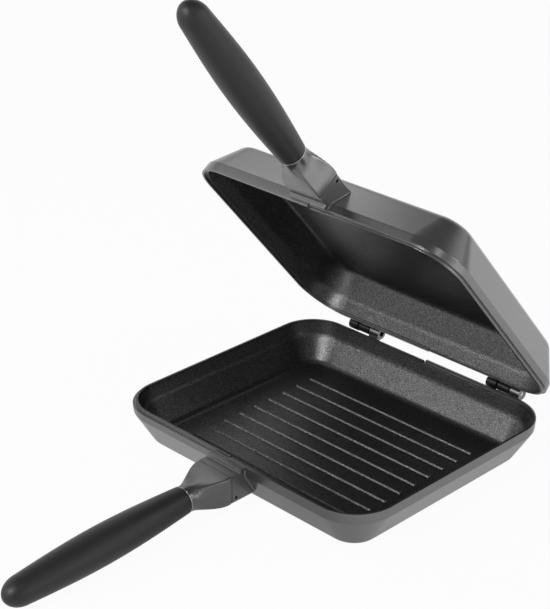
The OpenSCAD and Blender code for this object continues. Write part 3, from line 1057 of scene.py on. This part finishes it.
@dataclass
class Handle:
    """Neck, ring and soft grip of one half."""

    half: Half
    grip_l: float = 162.2
    grip_tilt: float = 2.5
    grip_r0: float = 10.6
    grip_r1: float = 14.3
    grip_r2: float = 11.3
    grip_wide_at: float = 78.0
    grip_end_l: float = 16.0
    ring_t: float = 0.8
    ring_proud: float = 0.2
    ring_edge: float = 0.15
    neck_under: float = 1.2
    neck_belly: float = 0.8
    neck_seam: float = 0.5
    taper_from: float = 0.06
    taper_over: float = 0.84
    square_above: float = 14.0
    square_below: float = 8.0
    sharp_corner: float = 0.957
    round_corner: float = 0.7835
    cage_grow: float = 0.108
    crease_above: float = 0.62
    crease_below: float = 0.49
    crease_end: float = 0.7
    neck_levels: int = 4
    beside_middle: float = 0.3
    off_middle: float = 0.15
    grip_sides: int = 72
    s: Sizes = SIZES

    def _grip_place(self) -> Matrix:
        """From the grip's own frame, +Z towards its far end, to the lower half's.

        Returns:
            The change of frame.
        """
        s = self.s
        return (Matrix.Translation((0, s.neck_end_y * MM, s.grip_z * MM))
                @ Matrix.Rotation(math.radians(90 + self.grip_tilt), 4, "X"))

    @staticmethod
    def _ease(share: float) -> float:
        """Smooth step."""
        share = min(1.0, max(0.0, share))
        return share * share * (3 - 2 * share)

    def _section(self, share: float) -> Triple:
        """Half width, top and bottom of the neck at a share of its length.

        Args:
            share: 0 at the boss, 1 at the collar.

        Returns:
            The three sizes.
        """
        s = self.s
        eased = self._ease(share)
        narrowed = self._ease((share - self.taper_from) / self.taper_over)
        half_w = s.boss_w / 2 + (s.collar_r - s.boss_w / 2) * narrowed
        top = s.flat_z + (s.grip_z + s.collar_r - s.flat_z) * eased
        start = s.boss_z - self.neck_under
        low = start + (s.grip_z - s.collar_r - start) * eased - self.neck_belly * math.sin(math.pi * share)
        return half_w, top, low

    def _square(self, share: float, above: bool) -> float:
        """How square the neck's corners are: 1 is sharp and 0 is round.

        Args:
            share: 0 at the boss, 1 at the collar.
            above: Whether the upper corners are meant.

        Returns:
            The squareness.
        """
        power = 2 + (self.square_above if above else self.square_below) * (1 - self._ease(share))
        return (0.5 ** (1 / power) - math.sqrt(0.5)) / (self.sharp_corner - math.sqrt(0.5))

    def _stations(self) -> list[Triple]:
        """Rings of the neck: place along Y, share of the change of shape, and how far it is drawn in.

        Returns:
            The rings from the boss to the grip.
        """
        s = self.s
        change = s.neck_l - s.collar_l
        shares = (0.02, 0.12, 0.24, 0.36, 0.48, 0.6, 0.7, 0.8, 0.9, 1.0)
        rings = [(s.seam_y, 0.0, self.neck_seam)] + [(s.seam_y - k * change, k, 0.0) for k in shares]
        return rings + [(s.neck_end_y, 1.0, 0.0)]

    def _neck(self) -> Bench:
        """Draw the neck out ring by ring from the boss to the collar, with creases that fade out.

        Returns:
            The finished neck.
        """
        s = self.s
        bench = Bench.disc("neck", 1.0, 8, Vector((0, s.seam_y, 0)), Vector((0, -1, 0)))
        size, mid, at = Vector((1, 1)), 0.0, s.seam_y
        corner = {True: math.sqrt(0.5), False: math.sqrt(0.5)}
        for y, share, groove in self._stations():
            half_w, top, low = self._section(share)
            if y < at:
                bench.extrude(y=y - at)
                at = y
            bench.move(z=(top + low) / 2 - mid)
            mid = (top + low) / 2
            about = Vector((0, y, mid))
            mean = (self._square(share, True) + self._square(share, False)) / 2
            grow = 1 + self.cage_grow * (1 - mean)
            new = Vector((half_w - groove, (top - low) / 2 - groove)) * grow
            bench.resize(new.x / size.x, 1, new.y / size.y, about)
            size = new
            for above in (True, False):
                reach = self.round_corner + (1 - self.round_corner) * self._square(share, above)
                want = reach / grow
                bench.pick_points(lambda p: abs(p.y - y) < NEAR and abs(p.x) > self.beside_middle * half_w
                                  and (p.z - mid) * (1 if above else -1) > self.off_middle * (top - low))
                bench.resize(want / corner[above], 1, want / corner[above], about)
                corner[above] = want
            bench.pick_faces(lambda p, n: abs(p.y - y) < NEAR)
        bench.close()
        self._neck_creases(bench)
        bench.modify("SUBSURF", levels=self.neck_levels, render_levels=self.neck_levels)
        bench.wear(GRAPHITE)
        return bench

    def _neck_creases(self, bench: Bench) -> None:
        """Crease the end rings, and the long edges less and less towards the collar.

        Args:
            bench: The closed cage of the neck.
        """
        rings = self._stations()
        for y in (rings[0][0], rings[1][0], rings[-1][0]):
            bench.pick_edges(lambda a, b: abs(a.y - y) < NEAR and abs(b.y - y) < NEAR)
            bpy.ops.transform.edge_crease(value=self.crease_end)
        for (near, share, _), (far, following, _) in zip(rings, rings[1:]):
            halfway = (share + following) / 2
            half_w, top, low = self._section(halfway)
            for above, most in ((True, self.crease_above), (False, self.crease_below)):
                bench.pick_edges(lambda a, b: abs(max(a.y, b.y) - near) < NEAR
                                 and abs(min(a.y, b.y) - far) < NEAR
                                 and abs(a.x) > self.beside_middle * half_w
                                 and (a.z - (top + low) / 2) * (1 if above else -1) > 2)
                value = most * math.sqrt(max(0.0, self._square(halfway, above)))
                bpy.ops.transform.edge_crease(value=value)

    def _grip_radius(self, z: float) -> float:
        """Radius of the grip at a distance from the neck.

        Args:
            z: The distance.

        Returns:
            The radius there.
        """
        body = self.grip_l - self.grip_end_l
        if z <= self.grip_wide_at:
            swell = math.sin(math.pi / 2 * z / self.grip_wide_at)
            return self.grip_r0 + (self.grip_r1 - self.grip_r0) * swell
        if z <= body:
            share = (z - self.grip_wide_at) / (body - self.grip_wide_at)
            return self.grip_r1 - (self.grip_r1 - self.grip_r2) * (1 - math.cos(math.pi / 2 * share))
        return self.grip_r2 * math.sqrt(max(0.0, 1 - ((z - body) / self.grip_end_l) ** 2))

    def _turned(self, name: str, line: Line, finish: Finish) -> Bench:
        """Draw a round piece out ring by ring along its axis.

        Args:
            name: Name of the piece.
            line: Radius and distance along the axis of each ring.
            finish: Its finish.

        Returns:
            The closed piece in its own frame.
        """
        bench = Bench.disc(name, line[0][0], self.grip_sides, Vector((0, 0, line[0][1])), Vector((0, 0, 1)))
        for (r0, z0), (r1, z1) in zip(line, line[1:]):
            bench.extrude(z=z1 - z0)
            bench.resize(r1 / r0, r1 / r0, 1, Vector((0, 0, z1)))
        bench.close()
        bench.wear(finish)
        return bench

    def _grip(self) -> Bench:
        """The soft grip with its eased edge at the ring.

        Returns:
            The grip in its own frame.
        """
        body = self.grip_l - self.grip_end_l
        start = self.ring_t
        eased, even = start + 0.4, start + 2
        body_rings, end_rings = 30, 14
        line = [(self.grip_r0 - 0.35, start), (self.grip_r0 - 0.1, start + 0.08),
                (self._grip_radius(eased), eased)]
        for k in range(body_rings + 1):
            z = even + k * (body - even) / body_rings
            line.append((self._grip_radius(z), z))
        for k in range(1, end_rings):
            turn = math.radians(90 * k / end_rings)
            line.append((self.grip_r2 * math.cos(turn), body + self.grip_end_l * math.sin(turn)))
        line.append((0.25, self.grip_l))
        return self._turned("grip", line, SOFT_GRIP)

    def _ring(self) -> Bench:
        """The thin bright ring between neck and grip, with rounded edges.

        Returns:
            The ring in the grip's frame.
        """
        r = self.s.collar_r + self.ring_proud
        e = self.ring_edge
        rise = [(r - e, 0.0), (r - 0.3 * e, 0.3 * e), (r, e)]
        fall = [(radius, self.ring_t - z) for radius, z in reversed(rise)]
        return self._turned("ring", rise + fall, BRIGHT_STEEL)

    def build(self) -> None:
        """Model, finish and place the neck, the ring and the grip."""
        place = self.half.place()
        for bench, part, node, slot, where in (
            (self._neck(), "handle_neck", "neck", "graphite_neck", place),
            (self._ring(), "handle_ring", "grip_ring", "ring_steel", place @ self._grip_place()),
            (self._grip(), "soft_grip", "grip_sleeve", "soft_grip", place @ self._grip_place()),
        ):
            bench.settle(self.half.node(part), where)
            bench.shade(45, weighted=False)
            report(bench.obj, self.half.body, [self.half.node(node)])


# ---------------- hinges


@dataclass
class HingeFittings:
    """Brackets, sleeves, pins and screws of both hinges."""

    edge: float = 0.35

    def _dress(self, node: str, finish: Finish, body: str, edge: float) -> None:
        """Remake a fitting with rounded edges.

        Args:
            node: CAD node that gives its shape and that it replaces.
            finish: Its finish.
            body: CAD body that it rides on.
            edge: Width of the rounding.
        """
        bench = Bench.copy_of(node, f"{node}_fitting")
        bench.wear(finish)
        bench.soften(edge, 45)
        bench.shade(40)
        report(bench.obj, body, [node])

    def build(self) -> None:
        """Remake each fitting."""
        for half in Half:
            metal = GRAPHITE if half is Half.LOWER else SATIN_BLACK
            for side in ("left", "right"):
                self._dress(half.node(f"bracket_{side}"), metal, half.body, self.edge)
            self._dress(half.node("hinge_screws"), BRIGHT_STEEL, half.body, 0.2)
        for side, half in (("left", Half.UPPER), ("right", Half.LOWER)):
            self._dress(f"{side}_hinge_sleeve", SATIN_BLACK, half.body, 0.4)
            self._dress(f"{side}_hinge_pin", BRIGHT_STEEL, half.body, 0.3)


class InnerParts:
    """The CAD nodes that stay: what is sealed inside the necks and grips, and the cross pins."""

    finishes = {"neck_pin": DARK_STEEL, "magnet": NICKEL, "tang": BRIGHT_STEEL, "grip_core": HARD_CORE}

    def build(self) -> None:
        """Give each node its finish."""
        for half in Half:
            for part, finish in self.finishes.items():
                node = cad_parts[half.node(part)]
                node.data.materials.clear()
                node.data.materials.append(finish.material())
                LOG.info("%s: finish %s", node.name, finish.name)


# ---------------- studio

@dataclass(frozen=True)
class Lamp:
    """One soft box."""

    name: str
    place: Triple
    width: float
    height: float
    power: float


@dataclass
class Studio:
    """Floor, soft boxes, surroundings and camera. None of it is part of the pan."""

    aim: Triple = (0.0, 0.0, 0.1)
    camera_at: Triple = (0.802698, -0.864268, 0.689011)
    camera_right: Triple = (0.7052152, 0.7089876, 0.002859)
    camera_up: Triple = (-0.3081201, 0.3028439, 0.9018578)
    lens: float = 101.978
    lamps: tuple[Lamp, ...] = (
        Lamp("front_key", (0.08, -1.31, 1.01), 0.6, 0.45, 8.0),
        Lamp("front_box", (-0.52, -1.50, 0.86), 1.6, 0.40, 5.6),
        Lamp("left_box", (-1.12, -0.45, 1.29), 0.7, 0.7, 1.0),
        Lamp("back_left_card", (-0.38, 0.20, 0.53), 0.30, 0.12, 0.14),
        Lamp("back_right_box", (1.16, 1.04, 1.02), 0.40, 0.36, 1.8),
        Lamp("right_box", (1.05, -0.20, 1.50), 0.45, 0.36, 0.9),
    )
    # Level of the surroundings by the height of a direction: 0 is level and 1 is straight up
    sky: tuple[tuple[float, float], ...] = ((0.22, 0.9), (0.42, 0.6), (0.57, 0.4), (0.75, 0.15))
    sky_low: float = 0.95
    sky_high: float = 0.15
    # Parts of the surroundings: direction, cosines where the change starts and is full, and its factor
    sky_parts: tuple[tuple[Triple, float, float, float], ...] = (
        ((0.7071, -0.7071, 0.0), 0.72, 0.92, 0.35),
        ((0.3256, 0.9455, 0.0), 0.975, 0.99, 0.2),
        ((-0.6157, -0.788, 0.0), 0.9, 0.98, 0.45),
        ((0.9659, 0.2588, 0.0), 0.85, 0.97, 1.5),
    )
    # The floor in reflections: Y where its sweep starts and ends with the levels there, and patches of
    # painted shade, the second a painted contact shadow by the neck, with a middle, an inner and an outer
    # radius and a level
    floor_sweep: tuple[float, float, float, float] = (0.12, 0.5, 0.82, 1.2)
    floor_painted_shade: tuple[tuple[Triple, float, float, float], ...] = (
        ((0.28, -0.55, 0.0), 0.15, 0.4, 0.2),
        ((0.06, -0.15, 0.0), 0.03, 0.12, 0.5),
    )
    floor_grey: float = 0.86
    floor_seen: float = 0.955
    floor_mirrored: float = 0.75

    def _floor(self) -> None:
        """A wide pale floor that shows white to the camera and keeps a soft shadow; in reflections it has
        patches of painted shade.
        """
        put_down()
        bpy.ops.mesh.primitive_plane_add(size=12, location=(0, 0, -0.0004))
        floor = bpy.context.object
        floor.name = "studio_floor"
        material = bpy.data.materials.new("pale_floor")
        material.use_nodes = True
        graph = Graph(material.node_tree)
        plain = graph.add("ShaderNodeBsdfDiffuse", {"Color": (*[self.floor_grey] * 3, 1)})
        place = graph.place()
        level = graph.spread(graph.add("ShaderNodeSeparateXYZ", {0: place}).outputs[1], *self.floor_sweep)
        # Painted shade: the floor's level in reflections is darkened in patches, the second a painted contact
        # shadow by the neck
        for middle, near, far, painted_shade_level in self.floor_painted_shade:
            away = graph.vector("DISTANCE", place, middle).outputs["Value"]
            level = graph.math("MULTIPLY", level, graph.spread(away, near, far, painted_shade_level, 1.0))
        path = graph.add("ShaderNodeLightPath")
        level = graph.blend(path.outputs["Is Camera Ray"], level, (1, 1, 1, 1))
        shine = graph.add("ShaderNodeEmission", {"Color": level, "Strength": 1.0})
        seen = graph.math("MULTIPLY", path.outputs["Is Camera Ray"], self.floor_seen)
        mirrored = graph.math("MULTIPLY", path.outputs["Is Glossy Ray"], self.floor_mirrored)
        share = graph.math("MAXIMUM", seen, mirrored)
        mix = graph.add("ShaderNodeMixShader", {0: share, 1: plain.outputs[0], 2: shine.outputs[0]})
        graph.add("ShaderNodeOutputMaterial", {"Surface": mix.outputs[0]})
        floor.data.materials.append(material)

    def _world(self) -> None:
        """White to the camera, and a bright horizon that falls off overhead to all else."""
        world = bpy.data.worlds.new("studio_surroundings")
        bpy.context.scene.world = world
        world.use_nodes = True
        graph = Graph(world.node_tree)
        way = graph.add("ShaderNodeTexCoord").outputs["Generated"]
        height = graph.add("ShaderNodeSeparateXYZ", {0: way}).outputs[2]
        fall = graph.add("ShaderNodeValToRGB", {0: height})
        ramp = fall.color_ramp
        for place, value in self.sky:
            ramp.elements.new(place).color = (value, value, value, 1)
        for end, value in ((0, self.sky_low), (-1, self.sky_high)):
            ramp.elements[end].color = (value, value, value, 1)
        level = fall.outputs[0]
        for towards, near, far, change in self.sky_parts:
            turned = graph.vector("DOT_PRODUCT", way, towards).outputs["Value"]
            level = graph.math("MULTIPLY", level, graph.spread(turned, near, far, 1.0, change))
        path = graph.add("ShaderNodeLightPath")
        seen = graph.math("MAXIMUM", path.outputs["Is Camera Ray"], path.outputs["Is Transmission Ray"])
        mirrored = graph.math("MULTIPLY", path.outputs["Is Glossy Ray"], level)
        plain = graph.math("MULTIPLY", level, 0.95)
        shown = graph.math("MAXIMUM", graph.math("MAXIMUM", seen, mirrored), plain)
        mix = graph.add("ShaderNodeBackground", {"Color": (1, 1, 1, 1), "Strength": shown})
        graph.add("ShaderNodeOutputWorld", {"Surface": mix.outputs[0]})

    def _lights(self) -> None:
        """Hang the soft boxes round the pan, each facing it."""
        aim = Vector(self.aim)
        for lamp in self.lamps:
            data = bpy.data.lights.new(lamp.name, "AREA")
            data.shape = "RECTANGLE"
            data.size, data.size_y, data.energy = lamp.width, lamp.height, lamp.power
            obj = bpy.data.objects.new(lamp.name, data)
            obj.location = Vector(lamp.place)
            obj.rotation_euler = (obj.location - aim).to_track_quat("Z", "Y").to_euler()
            obj.visible_camera = False
            bpy.context.scene.collection.objects.link(obj)

    def _camera(self) -> None:
        """Stand the camera where the photograph was taken from."""
        data = bpy.data.cameras.new("studio_camera")
        data.sensor_fit = "AUTO"
        data.sensor_width = 36.0
        data.lens = self.lens
        data.clip_start, data.clip_end = 0.01, 50.0
        camera = bpy.data.objects.new("studio_camera", data)
        right, up = Vector(self.camera_right).normalized(), Vector(self.camera_up).normalized()
        back = right.cross(up)
        turn = Matrix((right, up, back)).transposed().to_4x4()
        camera.matrix_world = Matrix.Translation(self.camera_at) @ turn
        bpy.context.scene.collection.objects.link(camera)
        bpy.context.scene.camera = camera

    def build(self) -> None:
        """Set the whole studio up."""
        self._floor()
        self._world()
        self._lights()
        self._camera()
        view = bpy.context.scene.view_settings
        view.view_transform = "Standard"


def main() -> None:
    """Build the pan and its studio."""
    logging.basicConfig(level=logging.INFO, format="%(name)s: %(message)s")
    for half in Half:
        PanCasting(half, ribbed=half is Half.LOWER).build()
        Handle(half).build()
    HingeFittings().build()
    InnerParts().build()
    Studio().build()
    put_down()


if __name__ == "__main__":
    main()
